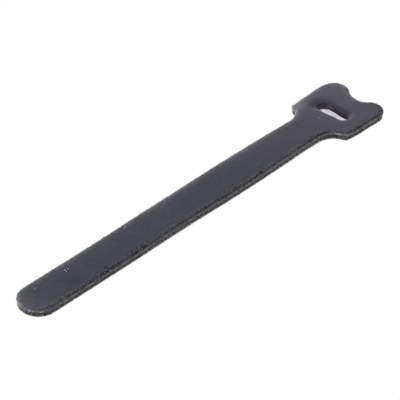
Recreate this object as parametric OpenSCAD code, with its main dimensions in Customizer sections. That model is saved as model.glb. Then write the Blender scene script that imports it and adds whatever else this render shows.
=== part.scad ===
// Hook and loop cable tie: a strap with a rounded tail, and a wide slotted head that the tail goes through.
// +X runs along the strap towards the head and +Z out of the loop side, with the hooks down on z = 0.
// The origin is the middle of the tie's length and width, at the tips of the hooks.

/* [Strap] */
// Length over all, from the tail's tip to the ends of the head's lobes
tie_length = 150; // [100:1:300]
// Width of the strap
strap_w = 13; // [10:0.5:16]
// Corner radius of the tail, at most half the strap's width
tail_r = 6.2; // [2:0.1:8]
// How much each side of the strap has narrowed where it meets the head
neck_taper = 0.2; // [0:0.05:0.6]
// Length over which the strap narrows
taper_l = 12; // [4:1:30]

/* [Head] */
// Width of the head
head_w = 24; // [22:0.5:32]
// Length of the head, from the shoulder corners to the ends of the lobes
head_l = 19.9; // [18:0.1:26]
// Radius of the hollow where the strap widens into the head
neck_r = 7; // [3:0.5:9]
// Slope of the shoulders, measured from the strap's length
shoulder_angle = 64; // [45:1:80]
// Radius that rounds the shoulder corners
corner_r = 0.6; // [0.2:0.1:2]
// Radius of the two lobes at the head's end
lobe_r = 4.6; // [3:0.1:6]
// Slope of the lobes where they run into the notch between them
notch_angle = 44; // [25:1:60]

/* [Slot] */
// Size of the slot along the strap
slot_gap = 4.6; // [3:0.1:6]
// Size of the slot across the strap
slot_w = 12; // [8:0.5:16]
// Radius of the slot's corners, at most half its gap
slot_r = 2; // [0.5:0.1:3]
// Distance from the slot's middle to the ends of the lobes
slot_back = 13.5; // [11:0.5:14]

/* [Layers] */
// Height of the hooks
hook_h = 1.6; // [0.8:0.1:2.5]
// Thickness of the film that the hooks stand on
film_t = 0.35; // [0.2:0.05:0.6]
// Thickness of the loop fabric away from its edges
fabric_t = 0.7; // [0.4:0.05:1.5]
// Thickness to which the fabric is pressed at its cut edge
fabric_edge_t = 0.12; // [0.05:0.01:0.3]
// Width of the band in which the fabric rolls down to its cut edge
roll_w = 1.3; // [0.6:0.1:2]

/* [Hooks] */
// Distance from one row of hooks to the next
row_pitch = 1.6; // [1.2:0.1:3]
// Width of a row of hooks
hook_w = 1.1; // [0.5:0.05:1.15]
// Distance from one clump of hooks to the next along a row
hook_pitch = 4; // [3.5:0.1:6]
// Length of a clump of hooks along its row
hook_l = 2.9; // [1:0.1:3.2]

/* [Hidden] */

inset_r = 0.25;                       // least radius of a shoulder corner that is drawn in
arc_steps = 12;                       // chords in one arc of the outline
roll_steps = 5;                       // rings in the fabric's rolled edge
tail_x = -tie_length / 2;
end_x = tie_length / 2;
strap_half = strap_w / 2;
neck_half = strap_half - neck_taper;
head_half = head_w / 2;
tail_round = min(tail_r, strap_half);
slot_x = end_x - slot_back;
slot_round = min(slot_r, slot_gap / 2);
film_top = hook_h + film_t;

// The neck's arc is kept small enough to end below the shoulder corner.
neck_round = min(neck_r, (head_half - neck_half - corner_r) / (1 - cos(shoulder_angle)));
shoulder_x = end_x - head_l;
flank_drop = head_half - neck_half - neck_round * (1 - cos(shoulder_angle));
neck_x = shoulder_x - flank_drop / tan(shoulder_angle) - neck_round * sin(shoulder_angle);

// The notch is one arc on the tie's axis that meets both lobes smoothly.
lobe_x = end_x - lobe_r;
lobe_y = head_half - lobe_r;
notch_r = lobe_y / sin(notch_angle) - lobe_r;
notch_x = lobe_x + (lobe_r + notch_r) * cos(notch_angle);

// Points on an arc about the centre c, from angle a to angle b.
function arc(c, r, a, b, steps = arc_steps) =
    [for (i = [0:steps]) let (t = a + (b - a) * i / steps) c + r * [cos(t), sin(t)]];

// The shoulder corner, drawn in by d: a fillet between the flank and the head's side.
function corner(d) =
    let (r = max(corner_r, d + inset_r),
         reach = r * tan(shoulder_angle / 2))
    arc([shoulder_x + reach, head_half - r], r - d, 90 + shoulder_angle, 90, 4);

// One side of the outline, from the tail's tip to the middle of the notch, drawn in by d all along.
function side(d) = concat(
    tail_round < strap_half ? [[tail_x + d, 0]] : [],
    arc([tail_x + tail_round, strap_half - tail_round], tail_round - d, 180, 90),
    [[neck_x - taper_l, strap_half - d]],
    arc([neck_x, neck_half + neck_round], neck_round + d, -90, shoulder_angle - 90),
    corner(d),
    arc([lobe_x, lobe_y], lobe_r - d, 90, -notch_angle),
    arc([notch_x, 0], notch_r + d, 180 - notch_angle, 180, arc_steps / 2)
);

// One side of the slot, widened by d, from its tail end to its head end.
function slot_side(d) =
    let (x = slot_gap / 2 - slot_round, y = slot_w / 2 - slot_round)
    concat([[slot_x - slot_gap / 2 - d, 0]],
           arc([slot_x - x, y], slot_round + d, 180, 90, arc_steps / 2),
           arc([slot_x + x, y], slot_round + d, 90, 0, arc_steps / 2),
           [[slot_x + slot_gap / 2 + d, 0]]);

// The points of a line, without those that repeat the point before them.
function distinct(s) = [for (i = [0:len(s) - 1]) if (i == 0 || norm(s[i] - s[i - 1]) > 0.0001) s[i]];

// The whole shape, from its side above the axis: out along that side and back along its mirror image.
function both_sides(line) =
    let (s = distinct(line))
    concat(s, [for (i = [len(s) - 2:-1:1]) [s[i].x, -s[i].y]]);

module tie_shape() {
    difference() {
        polygon(both_sides(side(0)));
        polygon(both_sides(slot_side(0)));
    }
}

// The hooks seen from below: the outline, less the gaps between the rows and between the clumps in a row.
module hook_shape() {
    rows = ceil(head_half / row_pitch);
    clumps = ceil(end_x / hook_pitch);
    row_gap = row_pitch - hook_w;
    clump_gap = hook_pitch - hook_l;
    difference() {
        tie_shape();
        for (i = [-rows:rows])
            translate([-tie_length, i * row_pitch - row_gap / 2])
                square([2 * tie_length, row_gap]);
        for (i = [-clumps:clumps])
            translate([i * hook_pitch - clump_gap / 2, -head_w])
                square([clump_gap, 2 * head_w]);
    }
}

// The moulded hook tape: rows of hooks, which the outline cuts through, and the film that they stand on.
module hook_tape() {
    color([0.16, 0.16, 0.18])
        union() {
            linear_extrude(hook_h) hook_shape();
            translate([0, 0, hook_h])
                linear_extrude(film_t) tie_shape();
        }
}

// How far the fabric's edge is drawn in, and its height over the film, for ring i of the rolled edge.
function roll_in(i) = roll_w * (1 - cos(90 * i / roll_steps));
function roll_up(i) = fabric_edge_t + (fabric_t - fabric_edge_t) * sin(90 * i / roll_steps);

// Direction of a point from the middle of the slot: 180 towards the tail, 0 towards the head's end.
function bearing(p) = atan2(p.y, p.x - slot_x);

// How many points of a line lie further back than the bearing t, or at it too if level is true.
function behind(line, t, level) = len([for (p = line) if (bearing(p) > t || (level && bearing(p) == t)) p]);

// Triangles between one side a of the outline and the same side b of the slot, in order of their bearings.
// A corner is [its number along the line, 0 for the outline or 1 for the slot].
function between(a, b) = concat(
    [for (i = [1:len(a) - 1]) [[i - 1, 0], [i, 0], [behind(b, bearing(a[i]), false) - 1, 1]]],
    [for (j = [1:len(b) - 1]) [[behind(a, bearing(b[j]), true) - 1, 0], [j, 1], [j - 1, 1]]]
);

// The loop fabric: flat beneath, and rolled down to a thin edge round its outline and round the slot.
// Rings of points rise from the film over both rolled edges, and triangles between the two fill the flats.
module loop_fabric() {
    rings = [for (i = [-1:roll_steps]) i < 0 ? [0, 0] : [roll_in(i), roll_up(i)]];
    outer = [for (r = rings) each [for (p = both_sides(side(r[0]))) [p.x, p.y, film_top + r[1]]]];
    inner = [for (r = rings) each [for (p = both_sides(slot_side(r[0]))) [p.x, p.y, film_top + r[1]]]];
    top = len(rings) - 1;
    n = len(outer) / len(rings);
    m = len(inner) / len(rings);

    function outline_point(ring, i) = ring * n + (i + n) % n;
    function slot_point(ring, j) = len(outer) + ring * m + (j + m) % m;
    function walls() = [for (r = [0:top - 1], i = [0:n - 1])
        [outline_point(r, i), outline_point(r, i + 1), outline_point(r + 1, i + 1), outline_point(r + 1, i)]];
    function slot_walls() = [for (r = [0:top - 1], j = [0:m - 1])
        [slot_point(r, j), slot_point(r + 1, j), slot_point(r + 1, j + 1), slot_point(r, j + 1)]];
    function flat(ring, way) = [
        for (t = between(distinct(side(rings[ring][0])), distinct(slot_side(rings[ring][0]))))
            [for (k = way > 0 ? [0, 1, 2] : [2, 1, 0])
                t[k][1] == 0 ? outline_point(ring, way * t[k][0]) : slot_point(ring, way * t[k][0])]];
    function turned(faces) = [for (f = faces) [f[2], f[1], f[0]]];

    color([0.29, 0.29, 0.33])
        polyhedron(points = concat(outer, inner),
                   faces = concat(walls(), slot_walls(), flat(top, 1), flat(top, -1),
                                  turned(flat(0, 1)), turned(flat(0, -1))),
                   convexity = 6);
}

hook_tape();
loop_fabric();
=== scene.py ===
import math

import bpy
import bmesh
import numpy as np
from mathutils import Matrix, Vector


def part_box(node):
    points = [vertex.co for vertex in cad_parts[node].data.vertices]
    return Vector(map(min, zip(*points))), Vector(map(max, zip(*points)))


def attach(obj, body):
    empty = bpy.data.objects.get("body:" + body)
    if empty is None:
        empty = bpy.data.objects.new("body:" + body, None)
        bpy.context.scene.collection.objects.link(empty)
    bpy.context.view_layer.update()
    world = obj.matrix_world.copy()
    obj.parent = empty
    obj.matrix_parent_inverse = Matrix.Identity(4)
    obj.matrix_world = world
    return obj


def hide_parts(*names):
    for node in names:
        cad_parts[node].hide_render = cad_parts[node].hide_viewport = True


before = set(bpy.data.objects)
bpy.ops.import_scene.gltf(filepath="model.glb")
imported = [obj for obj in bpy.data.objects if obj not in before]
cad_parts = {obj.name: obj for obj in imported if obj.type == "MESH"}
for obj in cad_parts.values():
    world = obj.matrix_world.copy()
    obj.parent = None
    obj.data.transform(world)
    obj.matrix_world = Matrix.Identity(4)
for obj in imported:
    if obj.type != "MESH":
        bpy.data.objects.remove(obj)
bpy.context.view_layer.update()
millimetre = 0.001
tapeLow, tapeHigh = (np.array(corner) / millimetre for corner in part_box("hook_tape"))
fabricHigh = np.array(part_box("loop_fabric")[1]) / millimetre
print("frame loaded")

# The tie's own measures in millimetres, as in the part's source; what the frame tells is read from it
tie = {
    "tailX": tapeLow[0],
    "endX": tapeHigh[0],
    "strapHalf": 6.5,
    "neckHalf": 6.3,
    "headHalf": tapeHigh[1],
    "tailRadius": 6.2,
    "taperLength": 12,
    "headLength": 19.9,
    "neckRadius": 7,
    "shoulderAngle": 64,
    "cornerRadius": 0.6,
    "insetRadius": 0.25,
    "lobeRadius": 4.6,
    "notchAngle": 44,
    "slotX": tapeHigh[0] - 13.5,
    "slotHalfGap": 2.3,
    "slotHalfWidth": 6,
    "slotRadius": 2,
    "hookHeight": 1.6,
    "filmTop": tapeHigh[2],
    "fabricTop": fabricHigh[2],
}

# How the tie lies: three low waves of the strap, each with its middle, reach and height; a twist about its
# length, as a slope; the head's turn in degrees, eased in from its start over its reach; and small pulls
lying = {
    "waves": [(-11, 33, 0.42), (34, 31, 0.46), (12, 20, 0.1)],
    "twist": 0.06,
    "twistMiddle": 13,
    "twistReach": 24,
    "headTurn": -0.6,
    "turnStart": 46,
    "turnReach": 14,
    # each pull's place and reach along the tie, place and reach across it, and shift along and across
    "pulls": [(67.5, 6, 11, 7, 0, 0.4), (56.5, 3.5, 12, 3.5, -0.4, -0.5), (54, 8, -9, 7, 0, 0.45),
              (42, 10, -7, 6, 0, 0.25), (60, 8, -13, 8, 0, -0.3), (69, 6, -12, 6, 0, -0.3),
              (73, 7, -4, 6, -0.6, 0), (61.5, 6, -6, 3, 0, -0.3), (54.4, 2.5, 10.5, 2, -0.5, 0)],
}


def bump(x, middle, reach):
    # one rounded hump: half of one plus a cosine, nothing beyond its reach
    turn = np.clip((x - middle) / reach, -1, 1)
    return (1 + np.cos(math.pi * turn)) / 2


def eased(value, start=0, end=1):
    # from 0 at the start to 1 at the end, level at both: three squares less two cubes of the way between
    way = np.clip((value - start) / (end - start), 0, 1)
    return way * way * (3 - 2 * way)


def laid(points):
    # each point rises by the waves' heights at its place along the tie, and by the twist times its distance
    # from the tie's axis, and never sinks; each pull moves it by its shift times a bump along and one across;
    # at the head the tie bends sideways by an angle that eases in, whose running sum is the sideways shift
    points = np.array(points, float)
    x, y = points[..., 0], points[..., 1]
    rise = sum(height * bump(x, middle, reach) for middle, reach, height in lying["waves"])
    rise = rise + lying["twist"] * bump(x, lying["twistMiddle"], lying["twistReach"]) * y
    points[..., 2] += np.maximum(rise, 0)
    pulls = [(bump(x, alongX, reachX) * bump(y, acrossY, reachY), shiftX, shiftY)
             for alongX, reachX, acrossY, reachY, shiftX, shiftY in lying["pulls"]]
    x = x + sum(share * shiftX for share, shiftX, shiftY in pulls)
    y = y + sum(share * shiftY for share, shiftX, shiftY in pulls)
    turn, reach = math.radians(lying["headTurn"]), lying["turnReach"]
    share = np.clip((x - lying["turnStart"]) / reach, 0, 1)
    past = np.maximum(x - lying["turnStart"] - reach, 0)
    shift = turn * (reach * (share ** 3 - share ** 4 / 2) + past)
    angle = turn * eased(share)
    points[..., 0] = x - angle * y
    points[..., 1] = y + shift
    return points


def arc(centre, radius, start, end, steps):
    # points on a circle about the centre, its radius at evenly spaced angles from start to end
    angle = np.radians(np.linspace(start, end, steps + 1))
    return np.stack([centre[0] + radius * np.cos(angle), centre[1] + radius * np.sin(angle)], -1)


def line(start, end, steps):
    # evenly spaced points from start to end
    share = np.linspace(0, 1, steps + 1)[:, None]
    return np.array(start) * (1 - share) + np.array(end) * share


def joined(parts):
    # one run of points from several that share their ends
    return np.concatenate([parts[0]] + [part[1:] for part in parts[1:]])


# Columns in each stretch of the outline, from the tail's tip to the middle of the notch
columns = {"tip": 1, "tail": 30, "strap": 260, "taper": 30, "neck": 22, "flank": 5, "corner": 5, "side": 36,
           "lobe": 30, "notch": 12}

slope = math.radians(tie["shoulderAngle"])
shoulderX = tie["endX"] - tie["headLength"]
flankDrop = tie["headHalf"] - tie["neckHalf"] - tie["neckRadius"] * (1 - math.cos(slope))
neckX = shoulderX - flankDrop / math.tan(slope) - tie["neckRadius"] * math.sin(slope)
lobeX = tie["endX"] - tie["lobeRadius"]
lobeY = tie["headHalf"] - tie["lobeRadius"]
notchRadius = lobeY / math.sin(math.radians(tie["notchAngle"])) - tie["lobeRadius"]
notchX = lobeX + (tie["lobeRadius"] + notchRadius) * math.cos(math.radians(tie["notchAngle"]))
slitX = tie["tailX"] + tie["tailRadius"]
slotLeft = tie["slotX"] - tie["slotHalfGap"]
slotRight = tie["slotX"] + tie["slotHalfGap"]
slotCornerY = tie["slotHalfWidth"] - tie["slotRadius"]
slotCornerX = tie["slotHalfGap"] - tie["slotRadius"]
farSplitY = slotCornerY * 0.4  # on the slot's far side, where the notch's columns begin


def lifted(plan, height):
    # the plan's points with a height, one for all or one for each
    return np.concatenate([plan, np.broadcast_to(height, plan.shape[:-1])[..., None]], -1)


def outline(inset):
    # one half of the tie's outline drawn in by the inset: tail arc, strap, taper, hollow neck arc, flank,
    # shoulder fillet, head side, lobe arc and hollow notch arc, each with its own count of points
    radius = max(tie["cornerRadius"], inset + tie["insetRadius"])
    cornerX = shoulderX + radius * math.tan(slope / 2)
    tail = arc((slitX, tie["strapHalf"] - tie["tailRadius"]), tie["tailRadius"] - inset, 180, 90,
               columns["tail"])
    taperStart = (neckX - tie["taperLength"], tie["strapHalf"] - inset)
    neck = arc((neckX, tie["neckHalf"] + tie["neckRadius"]), tie["neckRadius"] + inset, -90,
               tie["shoulderAngle"] - 90, columns["neck"])
    corner = arc((cornerX, tie["headHalf"] - radius), radius - inset, 90 + tie["shoulderAngle"], 90,
                 columns["corner"])
    lobe = arc((lobeX, lobeY), tie["lobeRadius"] - inset, 90, -tie["notchAngle"], columns["lobe"])
    notch = arc((notchX, 0), notchRadius + inset, 180 - tie["notchAngle"], 180, columns["notch"])
    return joined([
        line((tie["tailX"] + inset, 0), tail[0], columns["tip"]),
        tail,
        line(tail[-1], taperStart, columns["strap"]),
        line(taperStart, neck[0], columns["taper"]),
        neck,
        line(neck[-1], corner[0], columns["flank"]),
        corner,
        line(corner[-1], lobe[0], columns["side"]),
        lobe,
        notch,
    ])


def innerLine(outset):
    # the grid's inner edge, point for point beside the outline: a slit along the axis, rounded at its tail
    # end, then half of the slot's outline, all widened by the outset
    mouth = slotLeft - outset
    far = slotRight + outset
    taperX = neckX - tie["taperLength"]
    cornerLeft, cornerRight = tie["slotX"] - slotCornerX, tie["slotX"] + slotCornerX
    cap = arc((slitX, 0), outset, 180, 90, columns["tip"] + columns["tail"])
    left = line((mouth, outset), (mouth, slotCornerY), columns["flank"] + columns["corner"])
    steps = columns["side"] // 3
    turn = tie["slotRadius"] + outset
    end = joined([
        arc((cornerLeft, slotCornerY), turn, 180, 90, steps),
        line((cornerLeft, slotCornerY + turn), (cornerRight, slotCornerY + turn),
             columns["side"] - 2 * steps),
        arc((cornerRight, slotCornerY), turn, 90, 0, steps),
    ])
    return joined([
        cap,
        line((slitX, outset), (taperX, outset), columns["strap"]),
        line((taperX, outset), (neckX, outset), columns["taper"]),
        line((neckX, outset), (mouth, outset), columns["neck"]),
        left,
        end,
        line((far, slotCornerY), (far, farSplitY), columns["lobe"]),
        line((far, farSplitY), (far, 0), columns["notch"]),
    ])


slotStart = sum(columns[name] for name in ("tip", "tail", "strap", "taper", "neck"))


def slotDistance(x, y):
    # distance from the slot's edge: that from a rectangle within it, less its corner radius
    along = np.abs(x - tie["slotX"]) - slotCornerX
    across = np.abs(y) - slotCornerY
    beyond = np.hypot(np.maximum(along, 0), np.maximum(across, 0))
    return beyond + np.minimum(np.maximum(along, across), 0) - tie["slotRadius"]


def fineNoise(x, y, height, size, seed, waves=14):
    # smooth unevenness up to about the height: a sum of sines in random directions, their wavelengths 0.7 to
    # 1.6 times the size, over the root of their number
    draw = np.random.default_rng(seed)
    total = np.zeros_like(x)
    for _ in range(waves):
        angle, phase = draw.uniform(0, 2 * math.pi, 2)
        number = 2 * math.pi / (size * draw.uniform(0.7, 1.6))
        total += np.sin(number * (x * math.cos(angle) + y * math.sin(angle)) + phase)
    return height * total / math.sqrt(waves)


def ringGrid(insets, blendRows, roll):
    # rows of one half of the tie: the outline drawn in by each inset, straight blends to the inner line
    # widened by the roll, then that line widened less and less
    rows = [outline(inset) for inset in insets]
    inner = innerLine(roll)
    for share in np.linspace(0, 1, blendRows + 1)[1:]:
        rows.append(rows[len(insets) - 1] * (1 - share) + inner * share)
    for inset in insets[-2::-1]:
        rows.append(innerLine(inset))
    return np.stack(rows)


def wholePiece(name, rings, amounts):
    # both halves of a closed piece from rows of points that run from the slot over the top, round the edge
    # and back beneath: the rows' quads, the slot's wall between last and first row, and their mirror image;
    # there may be two rings, one a half; each amount is a value for every point of the grid
    halves = rings if rings.ndim == 4 else np.stack([rings, rings * np.array([1, -1, 1])])
    rowCount, columnCount = halves.shape[1:3]
    index = np.arange(rowCount * columnCount).reshape(rowCount, columnCount)

    def quads(low, high):
        return np.stack([low[:-1], low[1:], high[1:], high[:-1]], -1).reshape(-1, 4)

    faces = np.concatenate([quads(index[row], index[row + 1]) for row in range(rowCount - 1)]
                           + [quads(index[-1, slotStart:], index[0, slotStart:])])
    faces = np.concatenate([faces, faces[:, ::-1] + rowCount * columnCount])
    amounts = {key: np.broadcast_to(values, halves.shape[:3]) for key, values in amounts.items()}
    return meshPiece(name, laid(halves.reshape(-1, 3)), faces.tolist(), amounts, merge=True)


mergeGap = 0.002 * millimetre
leastEdge = 0.0005 * millimetre


def turnOutward(mesh, merge=False):
    # the mesh's doubles may be merged first, then its faces are turned outward
    work = bmesh.new()
    work.from_mesh(mesh)
    if merge:
        bmesh.ops.remove_doubles(work, verts=work.verts, dist=mergeGap)
        bmesh.ops.dissolve_degenerate(work, edges=work.edges, dist=leastEdge)
    bmesh.ops.recalc_face_normals(work, faces=work.faces)
    work.to_mesh(mesh)
    work.free()


def meshPiece(name, points, faces, amounts=None, merge=False):
    # one object from points in millimetres, faces and the amounts that its points carry
    mesh = bpy.data.meshes.new(name)
    mesh.from_pydata((np.asarray(points) * millimetre).tolist(), [], faces)
    for amountName, values in (amounts or {}).items():
        mesh.attributes.new(amountName, "FLOAT", "POINT").data.foreach_set("value", np.ravel(values))
    if merge:
        turnOutward(mesh, merge=True)
    mesh.validate()
    piece = bpy.data.objects.new(name, mesh)
    bpy.context.scene.collection.objects.link(piece)
    return piece


def tubesPiece(name, points, amounts=None, merge=False):
    # closed tubes, from the corners in every row of each: the walls between rows, then the two ends
    total, rows, corners = points.shape[:3]
    corner = np.arange(corners)
    first = (np.arange(total) * rows * corners)[:, None]
    base = (first + np.arange(rows - 1) * corners)[..., None]
    low, following = base + corner, base + np.roll(corner, -1)
    walls = np.stack([low, following, following + corners, low + corners], -1)
    ends = np.concatenate([first + corner[::-1], first + corner + (rows - 1) * corners])
    faces = walls.reshape(-1, 4).tolist() + ends.tolist()
    return meshPiece(name, laid(points.reshape(-1, 3)), faces, amounts, merge)


def smooth(piece, angle=None):
    # smooth shading, with sharp edges kept above the angle
    piece.data.polygons.foreach_set("use_smooth", [True] * len(piece.data.polygons))
    if angle is not None:
        piece.data.set_sharp_from_angle(angle=math.radians(angle))
    return piece


# The loop fabric, in millimetres; a pair is where something starts and where it is whole
fabric = {
    "roll": 1.3,  # width of the rolled edge
    "rollRows": 10,
    "blendRows": 12,
    "edgeHeight": 0.12,  # height over the film where it is cut
    "bluntness": 0.82,  # share of the quarter ellipse in the roll
    "unevenness": (0.012, 2.2, 3),  # height, size and seed
    "lumps": (0.07, 1.5, 8),  # in the roll
    "nearCrown": 0.06,  # how far the strap sinks towards its near edge
    "farCrown": 0.42,  # and at its far edge
    "slotFall": 3.4,  # width of the wide fall on the slot's far side
    "gentleness": 0.65,  # how far that fall departs from a quarter ellipse
    "farAlong": (-0.3, 2.7),  # that side, from the slot's middle
    "farAcross": (-1.5, 3.0),  # and from the start of its round corner
    "farSide": (-8, -4),
    "overhang": 0.5,  # how far it hangs into the slot on the tail's side
    "overhangAlong": (1.2, -1.2),
    "overhangAcross": (1.5, -2.5),
    "endOverhang": 0.35,  # and at the slot's near end
    "endAlong": (0, -2.4),
    "endAcross": (0, 1.6),
    "worn": (3.2, 0),  # distance from the far shoulder's corner, where it is thin
    "wornDepth": 0.75,
    "rubbed": (6.5, 2.4375),  # distance from that corner, where it is paler
    # dark crimps, on the near side only, so partly painted shade
    "crimpsAlong": (8, 16),  # from the tail's tip
    "crimpsAcross": (1, -2),
    "headCrimps": 0.5,  # how much weaker the crimps are on the head
    "headStart": (0, 2),  # from the shoulder
    "dent": (-2, 11, -0.5, 3.5),  # painted shade of a dent: place from the neck, reach, place from the near edge, reach
    "settledAlong": (1, 3),  # the head's near side, darkened by painted shade
    "settledAcross": (-2, -6),
    "settledDepth": (2.9, 0.7),
    "paleAcross": (-5.5, -0.5),  # the edge grows paler towards the far side, with painted light from behind
    "leastPale": 0.35,
}


def overhung(plan):
    # the fabric's rim hangs into the slot on the side towards the tail and at the near end: each point moves
    # towards the slot by the overhang, less and less up to one roll away from the slot's edge
    x, y = plan[..., 0], plan[..., 1]
    step = 0.01
    gap = slotDistance(x, y)
    slopeX = (slotDistance(x + step, y) - gap) / step
    slopeY = (slotDistance(x, y + step) - gap) / step
    rim = 1 - eased(gap, 0, fabric["roll"])
    side = eased(x - tie["slotX"], *fabric["overhangAlong"]) * eased(y, *fabric["overhangAcross"])
    end = eased(-y - slotCornerY, *fabric["endAcross"]) * eased(x - slotRight, *fabric["endAlong"])
    reach = rim * np.maximum(fabric["overhang"] * side, fabric["endOverhang"] * end)
    return np.stack([x - slopeX * reach, y - slopeY * reach], -1)


def fabricCover(x, y, depth, far):
    # two shares of the full height, to be multiplied: over the outline a quarter ellipse mixed with a
    # parabola of the distance from the edge, and over the slot a quarter ellipse, gentler on the far side
    rim = np.minimum(depth / fabric["roll"], 1)
    fall = fabric["roll"] + (fabric["slotFall"] - fabric["roll"]) * far
    lip = np.clip(slotDistance(x, y) / fall, 0, 1)
    steep = np.sqrt(1 - (1 - lip) ** 2)
    parabola = 1 - (1 - rim) ** 2
    overEdge = fabric["bluntness"] * np.sqrt(parabola) + (1 - fabric["bluntness"]) * parabola
    return overEdge, steep + far * fabric["gentleness"] * (eased((lip + lip ** 2) / 2) - steep)


def fabricAmounts(x, y, depth, fallen):
    # what the material reads at each point: its distance from the cut edge, how far it has fallen into the
    # slot, which sets its painted shade there, how crimped it is with painted shade on the near side, the
    # dent's painted shade, how pale it is with painted light towards the far side, how pale towards the far
    # corner, and the painted shade on the head's near side, by products of easings and bumps
    shoulder = x - shoulderX
    corner = np.hypot(shoulder, y - tie["headHalf"])
    dentX, reachX, dentY, reachY = fabric["dent"]
    onHead = eased(shoulder, *fabric["headStart"])
    return {
        "edgeDepth": depth,
        "fallen": fallen,
        "crimped": eased(x - tie["tailX"], *fabric["crimpsAlong"]) * eased(y, *fabric["crimpsAcross"])
        * (1 - fabric["headCrimps"] * onHead),
        "dented": bump(x, neckX + dentX, reachX) * bump(y, dentY - tie["strapHalf"], reachY),
        "pale": fabric["leastPale"] + (1 - fabric["leastPale"]) * eased(y, *fabric["paleAcross"]),
        "worn": eased(corner, *fabric["rubbed"]),
        "settled": eased(shoulder, *fabric["settledAlong"]) * eased(y, *fabric["settledAcross"])
        * eased(depth, *fabric["settledDepth"]),
    }


def fabricPiece():
    # the top rises from the cut edge by its thickness times its cover, less a crown that grows with the cube
    # of the distance from the strap's axis, with lumps in the roll and one worn corner; flat beneath
    angles = np.linspace(0, math.pi / 2, fabric["rollRows"] + 1)
    insets = list(fabric["roll"] * (1 - np.cos(angles)))
    plan = ringGrid(insets, fabric["blendRows"], fabric["roll"])
    plan = np.stack([plan, plan * np.array([1, -1])])
    depth = np.linalg.norm(plan - plan[:, :1], axis=-1)
    x, y = plan[..., 0], plan[..., 1]
    far = eased(y, *fabric["farSide"]) * np.maximum(eased(x - tie["slotX"], *fabric["farAlong"]),
                                                    eased(y - slotCornerY, *fabric["farAcross"]))
    overEdge, overSlot = fabricCover(x, y, depth, far)
    worn = eased(np.hypot(x - shoulderX, y - tie["headHalf"]), *fabric["worn"])
    cover = overEdge * overSlot * (1 - fabric["wornDepth"] * worn)
    rolling = 4 * overEdge * (1 - overEdge)
    crown = np.where(y > 0, fabric["farCrown"], fabric["nearCrown"]) * eased((neckX - x) / tie["taperLength"])
    height = fabric["edgeHeight"] + (tie["fabricTop"] - tie["filmTop"] - fabric["edgeHeight"]) * cover
    height = height - crown * cover * np.abs(y / tie["strapHalf"]) ** 3
    height = height + cover * fineNoise(x, y, *fabric["unevenness"])
    height = height + rolling * fineNoise(x, y, *fabric["lumps"])
    top = lifted(overhung(plan), tie["filmTop"] + height)
    under = ringGrid([0, fabric["roll"]], 3, fabric["roll"])
    under = lifted(overhung(np.stack([under, under * np.array([1, -1])])), tie["filmTop"])
    beneath = np.zeros(under.shape[:3])
    amounts = {name: np.concatenate([values[:, ::-1], beneath], 1)
               for name, values in fabricAmounts(x, y, depth, (1 - overSlot) * far).items()}
    return smooth(wholePiece("loopFabric", np.concatenate([top[:, ::-1], under], 1), amounts), 50)


def unit(vectors, tiny=1e-9):
    # each vector over its length
    return vectors / np.maximum(np.linalg.norm(vectors, axis=1), tiny)[:, None]


# Loose fibres of the rolled edge, in millimetres
fuzz = {
    "count": 6400,
    "length": (0.2, 0.65),
    "tufts": (0.5, 1.8, 12),  # how much the length varies in tufts, a tuft's size, the seed
    "lengthLimits": (0.1, 0.9),
    "radius": 0.022,
    "bend": 0.55,  # where a fibre bends, as a share of its length
    "taper": 0.35,  # how much thinner it is there
    "droop": 0.5,
    "rows": 9,  # rows that the fibres start from, and the roll's angles there
    "angles": (0.25, 1.45),
    "sunk": 0.03,
    "rise": (-0.6, 1.0),
    "spread": 0.55,
    "seed": 5,
}


def fuzzPiece():
    # each fibre is a three-sided spike along a bent line: it starts on the roll at a random place, leans out
    # and up at random, and droops by the square of the way along it; its length varies in tufts
    draw = np.random.default_rng(fuzz["seed"])
    angles = np.linspace(*fuzz["angles"], fuzz["rows"])
    rings = np.stack([outline(inset) for inset in fabric["roll"] * (1 - np.cos(angles))])
    thickness = tie["fabricTop"] - tie["filmTop"] - fabric["edgeHeight"]
    heights = tie["filmTop"] + fabric["edgeHeight"] + thickness * np.sin(angles) - fuzz["sunk"]
    count = fuzz["count"]
    stretch = np.linalg.norm(np.diff(rings[0], axis=0), axis=1)
    place = np.searchsorted(np.cumsum(stretch) / stretch.sum(), draw.uniform(0, 1, count))
    row = draw.integers(0, fuzz["rows"], count)
    share = draw.uniform(0, 1, count)[:, None]
    spot = rings[row, place] * (1 - share) + rings[row, place + 1] * share
    along = unit(rings[row, place + 1] - rings[row, place])
    half = np.stack([np.ones(count), np.where(draw.uniform(0, 1, count) < 0.5, -1, 1)], -1)
    start = lifted(spot * half, heights[row])
    outward = np.stack([-along[:, 1], along[:, 0]], -1) * half
    rise = draw.uniform(*fuzz["rise"], count)
    heading = unit(lifted(outward + draw.normal(0, fuzz["spread"], (count, 2)), rise))
    length = draw.uniform(*fuzz["length"], count) * (1 + fineNoise(*spot.T, *fuzz["tufts"]))
    length = np.clip(length, *fuzz["lengthLimits"])[:, None]
    side = unit(np.cross(heading, draw.normal(0, 1, (count, 3))))
    other = np.cross(heading, side)

    def middle(reach):
        return start + heading * length * reach - np.array([0, 0, 1]) * fuzz["droop"] * length * reach ** 2

    turn = 2 * math.pi / 3 * np.arange(3)[:, None]
    corners = side[:, None] * np.cos(turn) + other[:, None] * np.sin(turn)
    points = np.concatenate([
        middle(0)[:, None] + fuzz["radius"] * corners,
        middle(fuzz["bend"])[:, None] + fuzz["radius"] * (1 - fuzz["taper"]) * corners,
        middle(1)[:, None],
    ], 1)
    first = np.arange(count)[:, None, None] * points.shape[1]
    sides = (first + np.array([(0, 1, 4, 3), (1, 2, 5, 4), (2, 0, 3, 5)])).reshape(-1, 4)
    ends = (first + np.array([(3, 4, 6), (4, 5, 6), (5, 3, 6), (2, 1, 0)])).reshape(-1, 3)
    return smooth(meshPiece("fabricFuzz", laid(points.reshape(-1, 3)), sides.tolist() + ends.tolist()))


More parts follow.
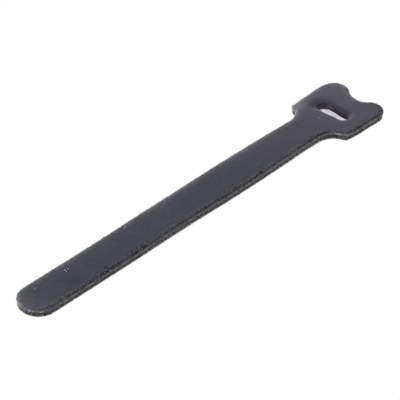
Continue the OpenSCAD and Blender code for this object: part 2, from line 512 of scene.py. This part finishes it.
# Lint on the fabric: each strand is a bent line, given by its middle, its length, its heading at the start
# and how much it curls in all, both in degrees, and its half thickness
lint = {
    "strands": [((-54.3, 3.0), 2.6, 120, -250, 0.10), ((-55.0, 2.7), 1.4, 20, 140, 0.08),
                ((-54.1, 4.9), 1.6, 70, 60, 0.05), ((-67.2, 3.1), 0.5, 10, 60, 0.10),
                ((-29.2, -5.1), 0.4, 80, 40, 0.08), ((50.4, -3.8), 0.4, 150, 80, 0.045),
                ((55.3, 0.4), 0.6, 40, 80, 0.04)],
    "steps": 14,
    "lift": 0.06,
    "tip": 0.05,  # square of the thickness left at its ends
}


def lintPiece():
    # a four-sided tube along each strand: the heading turns evenly along it, its running sum is the line, and
    # the tube tapers at both ends and hovers a little over the fabric
    steps = lint["steps"]
    share = np.linspace(0, 1, steps)
    taper = np.sqrt(np.clip(1 - (2 * share - 1) ** 4, lint["tip"], 1))
    pieces = []
    for middle, length, start, curl, thickness in lint["strands"]:
        heading = np.radians(start + curl * share)
        step = np.stack([np.cos(heading), np.sin(heading)], -1) * length / steps
        spot = np.cumsum(step, axis=0)
        spot += np.array(middle) - spot.mean(0)
        across = np.stack([-np.sin(heading), np.cos(heading)], -1)
        height = tie["fabricTop"] + lint["lift"] * (1 + np.sin(math.pi * share))
        radius = thickness * taper
        ring = [lifted(spot + across * (radius * side)[:, None], height + radius * rise)
                for side, rise in ((1, 0), (0, 1), (-1, 0), (0, -1))]
        pieces.append(np.stack(ring, 1))
    return smooth(tubesPiece("strayLint", np.stack(pieces), merge=True), 60)


# The film that carries the hooks, and how far the die's cut has drawn its upper edge out
film = {"blendRows": 4, "roll": 0.6, "lip": 0.2}


def filmPiece():
    # a plate of even thickness between the hooks and the fabric, its outline drawn out into a lip; it carries
    # how near the slot a point is, where it gets painted shade, and which points are on top
    plan = ringGrid([0, film["roll"]], film["blendRows"], film["roll"])
    plan[0] = outline(-film["lip"])
    top, under = (lifted(plan, height) for height in (tie["filmTop"], tie["hookHeight"]))
    hidden = np.clip(1 - slotDistance(plan[..., 0], plan[..., 1]) / film["roll"], 0, 1)
    amounts = {"shaded": np.concatenate([hidden[::-1], hidden]),
               "lip": np.concatenate([np.ones(hidden.shape), np.zeros(hidden.shape)])}
    return smooth(wholePiece("tapeFilm", np.concatenate([top[::-1], under]), amounts), 30)


# The hooks, in millimetres: rows of small anchors along the tie, arms out to both sides and heads down; along
# every edge stands a row that the die has cut through, and those round the slot are splayed a little
hooks = {
    "rowPitch": 1.6,
    "pitch": 0.75,
    "thickness": 0.4,
    "waist": 0.25,  # how much thinner a hook is half way down
    "growth": 0.04,
    "lean": 0.05,
    "margin": 0.5,  # least distance of a whole hook from the edges
    # half of a hook's profile: distance from its middle and from the film
    "anchor": [(0.34, -0.05), (0.17, 0.3), (0.17, 0.95), (0.45, 0.9), (0.57, 1.02), (0.45, 1.42), (0, 1.6)],
    "cutAnchor": [(0.4, -0.05), (0.31, 0.3), (0.26, 0.85), (0.32, 1.0), (0.38, 1.15), (0.36, 1.56), (0, 1.6)],
    "edgePitch": 0.76,
    "edgeShift": 0.1,
    "edgeInset": (0.02, 0.09),
    "edgeDepth": 0.5,
    "edgeHeight": (0.92, 1.0),
    "edgeWidth": (0.8, 1.15),
    "edgeLean": 0.08,
    "trimmed": 1.6,  # how pale the heads of the palest cut hooks are, with painted light from the floor
    "slotSplay": 0.12,
    # the slot's far side, where hooks stand out more: place across the tie, reach and how far
    "slotBulges": [(5.4, 2.2, 0.35), (-2.2, 4.2, 0.3)],
    "farAlong": (0, 1.5),  # that side, from the slot's middle
    "farAcross": (1, 2),  # and from the start of its round corner
    "slotEnd": (0.5, 4.5),  # the slot's far end, across the tie, where its walls get painted light
    "seed": 21,
}


def closedLoop(half):
    # a half line and its mirror image as one closed line
    return np.concatenate([half, (half * np.array([1, -1]))[-2:0:-1]])


def insideDepth(points, loop, batch=4000, tiny=1e-12):
    # the distance from every point to a closed line, negative where a ray from the point crosses the line an
    # odd number of times, worked out a batch of points at a time
    start, along = loop, np.roll(loop, -1, axis=0) - loop
    length = np.maximum((along ** 2).sum(-1), tiny)
    rise = np.where(np.abs(along[:, 1]) < tiny, tiny, along[:, 1])
    parts = []
    for first in range(0, len(points), batch):
        offset = points[first:first + batch, None] - start[None]
        share = np.clip((offset * along).sum(-1) / length, 0, 1)
        gap = np.linalg.norm(offset - share[..., None] * along, axis=-1).min(1)
        crosses = (offset[..., 1] < 0) != (offset[..., 1] < along[:, 1])
        crosses &= offset[..., 0] < offset[..., 1] / rise * along[:, 0]
        parts.append(np.where(crosses.sum(1) % 2 == 1, -gap, gap))
    return np.concatenate(parts)


def profileOf(half):
    # a whole profile from its half
    half = np.array(half)
    return np.concatenate([half, (half * np.array([-1, 1]))[-2::-1]])


def fieldHooks(draw):
    # one anchor for every place in the rows that lies well within the edges, thick along the tie, its foot in
    # the film: the profile at either side of its thickness, each point leaning by its depth
    profile = profileOf(hooks["anchor"])
    rowCount = math.ceil(tie["headHalf"] / hooks["rowPitch"])
    columnCount = math.ceil(tie["endX"] / hooks["pitch"])
    x, y = np.meshgrid((np.arange(-columnCount, columnCount) + 0.5) * hooks["pitch"],
                       np.arange(-rowCount, rowCount + 1) * hooks["rowPitch"])
    x = x + np.where(np.arange(len(x)) % 2, hooks["pitch"] / 2, 0)[:, None]
    centres = np.stack([x.ravel(), y.ravel()], -1)
    keep = insideDepth(centres, closedLoop(outline(0))) < -hooks["margin"]
    keep &= slotDistance(centres[:, 0], centres[:, 1]) > hooks["margin"]
    centres = centres[keep]
    lean = draw.normal(0, hooks["lean"], (len(centres), 1, 1, 2))
    grow = 1 + draw.normal(0, hooks["growth"], (len(centres), 1, 1))
    share = profile[:, 1] / tie["hookHeight"]
    waist = 1 - hooks["waist"] * np.sin(math.pi * np.clip(share, 0, 1))
    side = np.array([-0.5, 0.5])[:, None] * hooks["thickness"] * waist
    points = np.zeros((len(centres), 2, len(profile), 3))
    points[..., 0] = centres[:, None, None, 0] + side + lean[..., 0] * share
    points[..., 1] = centres[:, None, None, 1] + profile[:, 0] * grow + lean[..., 1] * share
    points[..., 2] = tie["hookHeight"] - profile[:, 1]
    return points


def edgeHooks(draw, loop, outward, splay):
    # cut hooks side by side along a closed line: the profile stands on the line and runs along it, its second
    # side lies deeper in the tape, and its points lean outward by their depth times the splay at its place
    profile = profileOf(hooks["cutAnchor"])
    closed = np.concatenate([loop, loop[:1]])
    run = np.concatenate([[0], np.cumsum(np.linalg.norm(np.diff(closed, axis=0), axis=1))])
    count = round(run[-1] / hooks["edgePitch"])
    place = (np.arange(count) + 0.5) * run[-1] / count + draw.normal(0, hooks["edgeShift"], count)
    step = 0.1
    before, centre, after = (np.stack([np.interp(place + shift, run, closed[:, axis]) for axis in (0, 1)], -1)
                             for shift in (-step, 0, step))
    along = unit(after - before)
    across = np.stack([-along[:, 1], along[:, 0]], -1) * outward
    share = np.clip(profile[:, 1] / tie["hookHeight"], 0, 1)
    reach = -draw.uniform(*hooks["edgeInset"], count) - np.array([0, hooks["edgeDepth"]])[:, None]
    reach = reach.T[..., None] + splay(centre)[:, None, None] * share ** 1.5
    short = draw.uniform(*hooks["edgeHeight"], (count, 1, 1))
    wide = draw.uniform(*hooks["edgeWidth"], (count, 1, 1))
    sideways = profile[:, 0] * wide + draw.normal(0, hooks["edgeLean"], (count, 1, 1)) * share
    points = np.zeros((count, 2, len(profile), 3))
    points[..., :2] = (centre[:, None, None] + along[:, None, None] * sideways[..., None]
                       + across[:, None, None] * reach[..., None])
    points[..., 2] = tie["hookHeight"] - profile[:, 1] * short
    return points


def hooksPiece():
    # the field of hooks, the cut hooks round the outline and those round the slot, each a closed solid
    # between its two profiles; they carry a shade, how pale they are cut with painted light from the floor,
    # which stand in the slot, for its painted shade, and how far towards the slot's far end, for painted
    # light
    draw = np.random.default_rng(hooks["seed"])
    field = fieldHooks(draw)

    def slotSplay(centre):
        far = np.maximum(eased(centre[:, 0] - tie["slotX"], *hooks["farAlong"]),
                         eased(centre[:, 1] - slotCornerY, *hooks["farAcross"]))
        bulge = sum(height * bump(centre[:, 1], middle, reach)
                    for middle, reach, height in hooks["slotBulges"])
        return hooks["slotSplay"] + far * bulge

    rim = edgeHooks(draw, closedLoop(outline(0)), 1, lambda centre: np.zeros(len(centre)))
    slotRim = edgeHooks(draw, closedLoop(innerLine(0)[slotStart:]), -1, slotSplay)
    points = np.concatenate([field, rim, slotRim])
    total, count = len(points), points.shape[2]
    shade = 0.8 * draw.uniform(0, 1, total) + 0.2 * (np.arange(total) % 2)
    shaded, slotEnd, trimmed = np.zeros((3, total, 2, count))
    # the hooks round the slot get painted shade
    shaded[-len(slotRim):] = 1
    # painted light on the slot's hooks towards its far end
    slotEnd[-len(slotRim):] = eased(slotRim[..., 1], *hooks["slotEnd"])
    # the cut hooks grow paler towards their heads: painted light from the floor beneath
    headward = np.clip(profileOf(hooks["cutAnchor"])[:, 1] / tie["hookHeight"], 0, 1) ** 2
    palest = hooks["trimmed"] * draw.uniform(0, 1, (len(rim), 1)) ** 2
    trimmed[len(field):-len(slotRim), 0] = palest * headward
    amounts = {"shade": np.repeat(shade, 2 * count), "cut": trimmed, "shaded": shaded, "slotEnd": slotEnd}
    piece = tubesPiece("tapeHooks", points, amounts)
    turnOutward(piece.data)
    print("hooks:", total)
    return smooth(piece, 40)


class Wire:
    # one socket of a node tree, whose sums, products and powers add Math nodes
    def __init__(self, finish, socket):
        self.finish = finish
        self.socket = socket

    def maths(self, operation, *values):
        return self.finish.add("ShaderNodeMath", {"operation": operation}, dict(enumerate(values)))[0]

    def __add__(self, other):
        return self.maths("ADD", self, other)

    def __sub__(self, other):
        return self.maths("SUBTRACT", self, other)

    def __rsub__(self, other):
        return self.maths("SUBTRACT", other, self)

    def __mul__(self, other):
        return self.maths("MULTIPLY", self, other)

    def __pow__(self, other):
        return self.maths("POWER", self, other)

    def __rpow__(self, other):
        return self.maths("POWER", other, self)

    __radd__ = __add__
    __rmul__ = __mul__

    def clipped(self):
        return self.maths("MINIMUM", self.maths("MAXIMUM", self, 0.0), 1.0)


class Outputs:
    # a node's outputs, each given as a wire
    def __init__(self, finish, node):
        self.finish = finish
        self.node = node

    def __getitem__(self, key):
        return Wire(self.finish, self.node.outputs[key])


class Finish:
    # the node tree of a new material or world
    def __init__(self, name, kind="materials"):
        self.owner = getattr(bpy.data, kind).new(name)
        self.owner.use_nodes = True
        self.tree = self.owner.node_tree
        self.tree.nodes.clear()

    def add(self, kind, settings=None, sockets=None):
        # one node: its settings first, then each socket's value or link
        node = self.tree.nodes.new(kind)
        for name, value in (settings or {}).items():
            if name == "stops":
                while len(node.color_ramp.elements) < len(value):
                    node.color_ramp.elements.new(0.5)
                for element, (place, colour) in zip(node.color_ramp.elements, value):
                    element.position = place
                    element.color = colour
            else:
                setattr(node, name, value)
        for key, value in (sockets or {}).items():
            if isinstance(value, Wire):
                self.tree.links.new(value.socket, node.inputs[key])
            else:
                node.inputs[key].default_value = value
        return Outputs(self, node)

    def objectPlace(self):
        return self.add("ShaderNodeTexCoord")["Object"]

    def noise(self, place, size, detail=2.0, roughness=0.5):
        # noise whose features are about size millimetres wide
        scale = 1 / (size * millimetre)
        return self.add("ShaderNodeTexNoise", {}, {"Vector": place, "Scale": scale, "Detail": detail,
                                                   "Roughness": roughness})[0]

    def span(self, value, low, high, newLow=0.0, newHigh=1.0):
        # an eased way from the new low, where the value is low, to the new high, where it is high
        sockets = {"Value": value, "From Min": low, "From Max": high, "To Min": newLow, "To Max": newHigh}
        return self.add("ShaderNodeMapRange", {"interpolation_type": "SMOOTHSTEP"}, sockets)[0]

    def mixed(self, share, first, second, blend="MIX"):
        return self.add("ShaderNodeMix", {"data_type": "RGBA", "blend_type": blend},
                        {0: share, 6: first, 7: second})[2]

    def bumped(self, height, distance, strength):
        sockets = {"Height": height, "Distance": distance * millimetre, "Strength": strength}
        return self.add("ShaderNodeBump", {}, sockets)[0]

    def attribute(self, name):
        return self.add("ShaderNodeAttribute", {"attribute_name": name})["Fac"]

    def finished(self, **sockets):
        named = {name.replace("_", " "): value for name, value in sockets.items()}
        shader = self.add("ShaderNodeBsdfPrincipled", {}, named)[0]
        self.add("ShaderNodeOutputMaterial", {}, {"Surface": shader})
        return self.owner


def solid(red, green, blue):
    # a colour as a screen shows it, from 0 to 255, made linear, and opaque
    return (*(((part / 255 + 0.055) / 1.055) ** 2.4 if part > 10 else part / 255 / 12.92
              for part in (red, green, blue)), 1)


# Dark brushed fabric: a fine mottle of loops and broad faint clouds, lighter at the tail's end and with
# painted light towards the head, paler and speckled where it rolls over its edge, with painted light on its
# far side, dark crimps just inside it, partly painted shade on the near side, and painted shade where it
# falls
fabricLook = {
    "dark": solid(60, 61, 73),
    "mid": solid(71, 72, 84),
    "light": solid(81, 82, 94),
    "cloudTint": solid(69, 73, 85),
    "headTint": solid(75, 70, 82),
    # painted light towards the head; the tail's end is lighter
    "headGain": (1.23, 1.23, 1.21, 1),
    "tailGain": (1.45, 1.44, 1.4, 1),
    # the rolled edge's paler grey, with painted light towards the far side
    "edge": solid(104, 104, 109),
    "rim": solid(128, 127, 132),
    # painted highlight at the near side's cut edge
    "nearRim": solid(174, 171, 176),
    "worn": solid(136, 138, 136),
    # dark of the crimps, partly painted shade, and of the dark specks
    "crimp": solid(30, 29, 36),
    # painted shade on the head's near side
    "settledGain": (0.74, 0.74, 0.76, 1),
    # painted shade where the fabric falls into the slot
    "fallen": solid(35, 34, 41),
    "fibreDark": solid(96, 97, 104),
    "fibreLight": solid(178, 180, 184),
    # each noise: the size of its features in millimetres, its detail and its roughness
    "pile": (0.32, 3.0, 0.6),
    "clouds": (7.0, 2.0),
    "tints": (9.0, 1.0),
    "spots": (0.6, 2.0, 0.6),
    "specks": (0.35, 1.0),
    # stretches of the tie in metres
    "headTintFrom": (-0.01, 0.05),
    "headGainFrom": (0.046, 0.064),
    "tailGainTo": (-0.075, -0.064),
    # distances from the cut edge in millimetres
    "edgeReach": 2.6,
    "rimReach": 0.6,
    "nearRimReach": 0.14,
    "crimpsFade": (1.6, 3.2),
    "specksFade": (0.6, 2.8),
    # how much of each colour shows
    "cloudTintShare": 0.3,
    "headTintShare": 0.6,
    "rimShare": 0.8,
    "nearRimShare": 1.3,
    "wornShare": 0.36,
    "crimpShare": 0.9,
    "darkSpecks": 0.4,
    "paleSpecks": 0.45,
    "fallenShare": 0.8,
    "sheen": 0.5,
}


def fabricFinish():
    # the pile blends three greys; over them come coats, each with its share and colour, or a gain, which
    # multiplies: tints, painted light towards the head, a lighter tail end, pale roll and rim with painted
    # light on the far side, a painted highlight at the near cut edge, a paler far corner, crimps that are
    # partly painted shade, painted shade on the head's near side, specks, and painted shade in the slot's
    # fall
    look = fabricLook
    finish = Finish("brushedLoopFabric")
    place = finish.objectPlace()
    pile, clouds, tints, spots, specks = (finish.noise(place, *look[name])
                                          for name in ("pile", "clouds", "tints", "spots", "specks"))
    depth, fallen, pale, dented = (finish.attribute(name)
                                   for name in ("edgeDepth", "fallen", "pale", "dented"))
    along = finish.add("ShaderNodeSeparateXYZ", {}, {0: place})["X"]
    mottle = finish.span(pile * 0.7 + clouds * 0.3, 0.35, 0.65)
    stops = [(0.0, look["dark"]), (0.5, look["mid"]), (1.0, look["light"])]
    base = finish.add("ShaderNodeValToRGB", {"stops": stops}, {0: mottle})[0]
    paling = finish.span(depth, 0.0, look["edgeReach"], 1.0, 0.0) * finish.span(clouds, 0.3, 0.7, 0.5, 1.0)
    upright = finish.span(fallen, 0.0, 0.2, 1.0, 0.0)
    # dark crimps inside the edge, on the near side only: partly painted shade, more at the dent's painted
    # shade
    crimpSpots = finish.span(spots + clouds * 0.45 - depth * 0.05 + dented * 0.08, 0.7, 0.75)
    inner = finish.span(depth, 0.0, 0.4, 0.45, 0.9) * finish.span(depth, *look["crimpsFade"], 1.0, 0.0)
    crimpsAndShade = (finish.attribute("crimped") + dented).clipped() * crimpSpots * inner
    nearEdge = finish.span(depth, *look["specksFade"], 1.0, 0.0) * upright
    coats = [
        (finish.span(tints, 0.4, 0.65, 0.0, look["cloudTintShare"]), "cloudTint"),
        (finish.span(along, *look["headTintFrom"], 0.0, look["headTintShare"]), "headTint"),
        # painted light towards the head
        (finish.span(along, *look["headGainFrom"]), "headGain"),
        (finish.span(along, *look["tailGainTo"], 1.0, 0.0), "tailGain"),
        # paler rolled edge, with painted light towards the far side, where the light falls from behind
        (paling * pale, "edge"),
        (finish.span(depth, 0.0, look["rimReach"], look["rimShare"], 0.0) * upright, "rim"),
        # painted highlight: a pale line at the near side's cut edge
        (finish.span(depth, 0.0, look["nearRimReach"], look["nearRimShare"], 0.0) * (1 - pale), "nearRim"),
        # paler towards the far shoulder's corner
        (finish.attribute("worn") * look["wornShare"], "worn"),
        (crimpsAndShade * look["crimpShare"], "crimp"),
        # painted shade on the head's near side
        (finish.attribute("settled"), "settledGain"),
        (finish.span(specks, 0.42, 0.32) * nearEdge * look["darkSpecks"], "crimp"),
        (finish.span(specks, 0.58, 0.7) * nearEdge * look["paleSpecks"], "fibreLight"),
        # painted shade where the fabric falls into the slot
        (finish.span(fallen, 0.2, 0.95) * look["fallenShare"], "fallen"),
    ]
    for share, name in coats:
        base = finish.mixed(share, base, look[name], "MULTIPLY" if name.endswith("Gain") else "MIX")
    rough = pile + spots * finish.span(depth, 0.6, 1.8, 2.0, 0.0)
    return finish.finished(Base_Color=base, Roughness=0.85, Normal=finish.bumped(rough, 0.06, 0.7),
                           Sheen_Weight=look["sheen"], Sheen_Roughness=0.35, Sheen_Tint=solid(230, 235, 235),
                           Specular_IOR_Level=0.2)


# Dark moulded plastic of the hooks and film, whose cut edge shows pale, with a painted highlight on the
# film's lip; the cut hooks' heads carry painted light from the floor, and the slot's walls painted shade,
# with painted light at the slot's far end
tapeLook = {
    "dark": solid(38, 35, 40),
    "light": solid(76, 72, 76),
    # pale cut edge of the film, near white for the painted highlight on its lip's top
    "cutDark": solid(128, 123, 134),
    "cut": solid(255, 250, 255),
    # pale cut hook heads, with painted light from the floor
    "cutHook": solid(172, 166, 169),
    "film": solid(88, 84, 89),
    # painted shade on the slot's walls
    "slot": solid(30, 27, 36),
    # painted light on the slot's walls towards its far end
    "slotEnd": solid(118, 113, 140),
    "grain": (0.7, 2.0),
    "edgeGrain": (1.3, 3.0, 0.6),
    "cutShare": 0.6,
    "slotShare": 0.85,
}


def tapeFinish():
    # each hook's shade and a grain blend two greys; cut heads are paler, with painted light from the floor,
    # and those in the slot get painted shade, with painted light towards the slot's far end
    finish = Finish("mouldedHookPlastic")
    grain = finish.noise(finish.objectPlace(), *tapeLook["grain"])
    shade = finish.attribute("shade") * 0.5 + grain * 0.5
    base = finish.mixed(finish.span(shade, 0.3, 0.65), tapeLook["dark"], tapeLook["light"])
    base = finish.mixed(finish.attribute("cut") * tapeLook["cutShare"], base, tapeLook["cutHook"])
    # painted shade on the slot's walls, with painted light towards its far end
    slot = finish.mixed(finish.attribute("slotEnd"), tapeLook["slot"], tapeLook["slotEnd"])
    base = finish.mixed(finish.attribute("shaded") * tapeLook["slotShare"], base, slot)
    return finish.finished(Base_Color=base, Roughness=finish.span(grain, 0.3, 0.7, 0.3, 0.45),
                           Normal=finish.bumped(grain, 0.03, 0.5))


def cutEdgeFinish():
    # two pale greys blended by a grain at the lip's top, a pale cut edge with a painted highlight, fading by
    # a high power into the film's grey below; near the slot, painted shade
    finish = Finish("cutFilmEdgeHighlight")
    grain = finish.noise(finish.objectPlace(), *tapeLook["edgeGrain"])
    base = finish.mixed(finish.span(grain, 0.42, 0.6), tapeLook["cutDark"], tapeLook["cut"])
    base = finish.mixed(finish.attribute("lip") ** 8.0, tapeLook["film"], base)
    # painted shade near the slot
    base = finish.mixed(finish.attribute("shaded") * tapeLook["slotShare"], base, tapeLook["slot"])
    return finish.finished(Base_Color=base, Roughness=0.5)


def threadFinish(name, size, dark, light, **sockets):
    # thin fibre: two shades blended by a noise
    finish = Finish(name)
    base = finish.mixed(finish.noise(finish.objectPlace(), size), dark, light)
    return finish.finished(Base_Color=base, Roughness=0.6, **sockets)


def dressed(piece, *finishes):
    # the piece with its materials
    for finish in finishes:
        piece.data.materials.append(finish)
    return piece


fabricObject = dressed(fabricPiece(), fabricFinish())
fuzzObject = dressed(fuzzPiece(), threadFinish("looseFibre", 1.5, fabricLook["fibreDark"],
                                               fabricLook["fibreLight"], Sheen_Weight=0.3))
lintObject = dressed(lintPiece(), threadFinish("paleLint", 0.8, solid(150, 150, 160), solid(225, 225, 235)))
filmObject = dressed(filmPiece(), tapeFinish(), cutEdgeFinish())
hooksObject = dressed(hooksPiece(), filmObject.data.materials[0])

# the film's upright faces and the lip above them are its cut edge, with a painted highlight on the lip
normals = np.zeros(len(filmObject.data.polygons) * 3, np.float32)
filmObject.data.polygons.foreach_get("normal", normals)
cutEdge = normals.reshape(-1, 3)[:, 2] > -0.5
filmObject.data.polygons.foreach_set("material_index", cutEdge.astype(np.int32))
print("pieces made")

fabricPieces = [fabricObject, fuzzObject, lintObject]
tapePieces = [filmObject, hooksObject]
for pieces, slotName in ((fabricPieces, "loop_fabric"), (tapePieces, "hook_plastic")):
    for piece in pieces:
        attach(piece, "root")
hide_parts("loop_fabric")
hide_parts("hook_tape")
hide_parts("hook_tape")

# Where the camera stands: its turn from +X and its height over the floor in degrees, its distance from its
# aim, its lens and its sensor in millimetres, and its clip range in metres
cameraSetup = {
    "turn": 223.89,
    "elevation": 37.46,
    "distance": 886.7,
    "aim": (0.388, 0.335, 0.07),
    "lens": 257.76,
    "sensor": 36,
    "clip": (0.05, 20),
}


def lookingBack(data, turn, height, distance, aim, scale=1):
    # the data's object, facing its aim from its distance along the unit vector of its turn and height
    turn, height = math.radians(turn), math.radians(height)
    away = Vector((math.cos(turn) * math.cos(height), math.sin(turn) * math.cos(height), math.sin(height)))
    thing = bpy.data.objects.new(data.name, data)
    bpy.context.scene.collection.objects.link(thing)
    thing.location = (Vector(aim) + away * distance) * scale
    thing.rotation_euler = (-away).to_track_quat("-Z", "Y").to_euler()
    return thing


def addCamera():
    data = bpy.data.cameras.new("camera")
    data.lens = cameraSetup["lens"]
    data.sensor_width = cameraSetup["sensor"]
    data.clip_start, data.clip_end = cameraSetup["clip"]
    place = [cameraSetup[name] for name in ("turn", "elevation", "distance", "aim")]
    bpy.context.scene.camera = lookingBack(data, *place, millimetre)


def addLamp(name, turn, height, distance, size, power, aimX):
    # a round lamp that faces a point on the tie's axis
    data = bpy.data.lights.new(name, "AREA")
    data.shape = "DISK"
    data.size = size
    data.energy = power
    lamp = lookingBack(data, turn, height, distance, (aimX, 0, 0))
    lamp.visible_camera = False
    return lamp


studio = {
    "floorSize": 6.0,
    "floorWhite": 0.95,
    "skyLight": 0.31,
    # each lamp's name, its turn and height in degrees, its distance, size and power, and its aim's X
    "lamps": [("backLamp", 90, 20, 0.9, 0.35, 3.4, 0), ("leftLamp", 135, 20, 0.9, 0.35, 5.45, 0),
              ("headLamp", 75, 45, 0.09, 0.08, 0.04, 0.08)],
    "underLamp": ("underLamp", 0, -90, 0.9, 0.35, 0.15, 0),
    "underSpread": 20,
    # how far in millimetres the floor is shaded, and how open it is where plain white starts and is whole
    "shadowReach": 4.0,
    "openness": (0.15, 0.48),
    # the floor's shade beneath the slot, its noise, and its reach in metres
    "slotDark": solid(192, 187, 194),
    "slotLight": solid(222, 217, 222),
    "slotNoise": (1.3, 3.0, 0.6),
    "slotReach": (0.007, 0.009),
}


def floorFinish():
    # white matt paper that shows plain white where nothing is close above it, a painted shadow of pale grey
    # under the slot, and from beneath is clear, so that the hooks show
    finish = Finish("paleFloor")
    path = finish.add("ShaderNodeLightPath")
    seen = (path["Is Camera Ray"] + path["Is Glossy Ray"] + path["Is Transmission Ray"]).clipped()
    cover = finish.add("ShaderNodeAmbientOcclusion", {"samples": 8},
                       {"Distance": studio["shadowReach"] * millimetre})
    openFloor = finish.span(cover["AO"], *studio["openness"])
    place = finish.objectPlace()
    away = finish.add("ShaderNodeVectorMath", {"operation": "DISTANCE"},
                      {0: place, 1: (tie["slotX"] * millimetre, 0, 0)})["Value"]
    mottle = finish.span(finish.noise(place, *studio["slotNoise"]), 0.35, 0.65)
    shade = finish.mixed(mottle, studio["slotDark"], studio["slotLight"])
    paper = finish.mixed(finish.span(away, *studio["slotReach"]), shade, (1, 1, 1, 1))
    white = studio["floorWhite"]
    matt = finish.add("ShaderNodeBsdfDiffuse", {}, {"Color": (white, white, white, 1)})[0]
    glow = finish.add("ShaderNodeEmission", {}, {"Color": paper, "Strength": 1.0})[0]
    above = finish.add("ShaderNodeMixShader", {}, {0: seen * openFloor, 1: matt, 2: glow})[0]
    beneath = finish.add("ShaderNodeNewGeometry")["Backfacing"]
    clear = finish.add("ShaderNodeBsdfTransparent")[0]
    whole = finish.add("ShaderNodeMixShader", {}, {0: beneath, 1: above, 2: clear})[0]
    finish.add("ShaderNodeOutputMaterial", {}, {"Surface": whole})
    return finish.owner


def addStudio():
    # a square floor, a soft sky with a white backdrop, and the lamps
    half = studio["floorSize"] / 2 / millimetre
    floor = meshPiece("floor", [(-half, -half, 0), (half, -half, 0), (half, half, 0), (-half, half, 0)],
                      [(0, 1, 2, 3)])
    floor.data.materials.append(floorFinish())
    sky = Finish("softSky", "worlds")
    seen = sky.add("ShaderNodeLightPath")["Is Camera Ray"]
    light = sky.add("ShaderNodeBackground", {}, {"Strength": studio["skyLight"]})[0]
    backdrop = sky.add("ShaderNodeBackground", {}, {"Color": (1, 1, 1, 1)})[0]
    both = sky.add("ShaderNodeMixShader", {}, {0: seen, 1: light, 2: backdrop})[0]
    sky.add("ShaderNodeOutputWorld", {}, {"Surface": both})
    bpy.context.scene.world = sky.owner
    for lamp in studio["lamps"]:
        addLamp(*lamp)
    # a lamp beneath the floor, for views of the hooks: only the tie throws shadows in its light
    under = addLamp(*studio["underLamp"])
    under.data.spread = math.radians(studio["underSpread"])
    under.light_linking.blocker_collection = bpy.data.collections.new("shadowsFromBeneath")
    for piece in fabricPieces + tapePieces:
        under.light_linking.blocker_collection.objects.link(piece)


addCamera()
addStudio()
bpy.context.scene.view_settings.view_transform = "Standard"
print("camera and studio set")
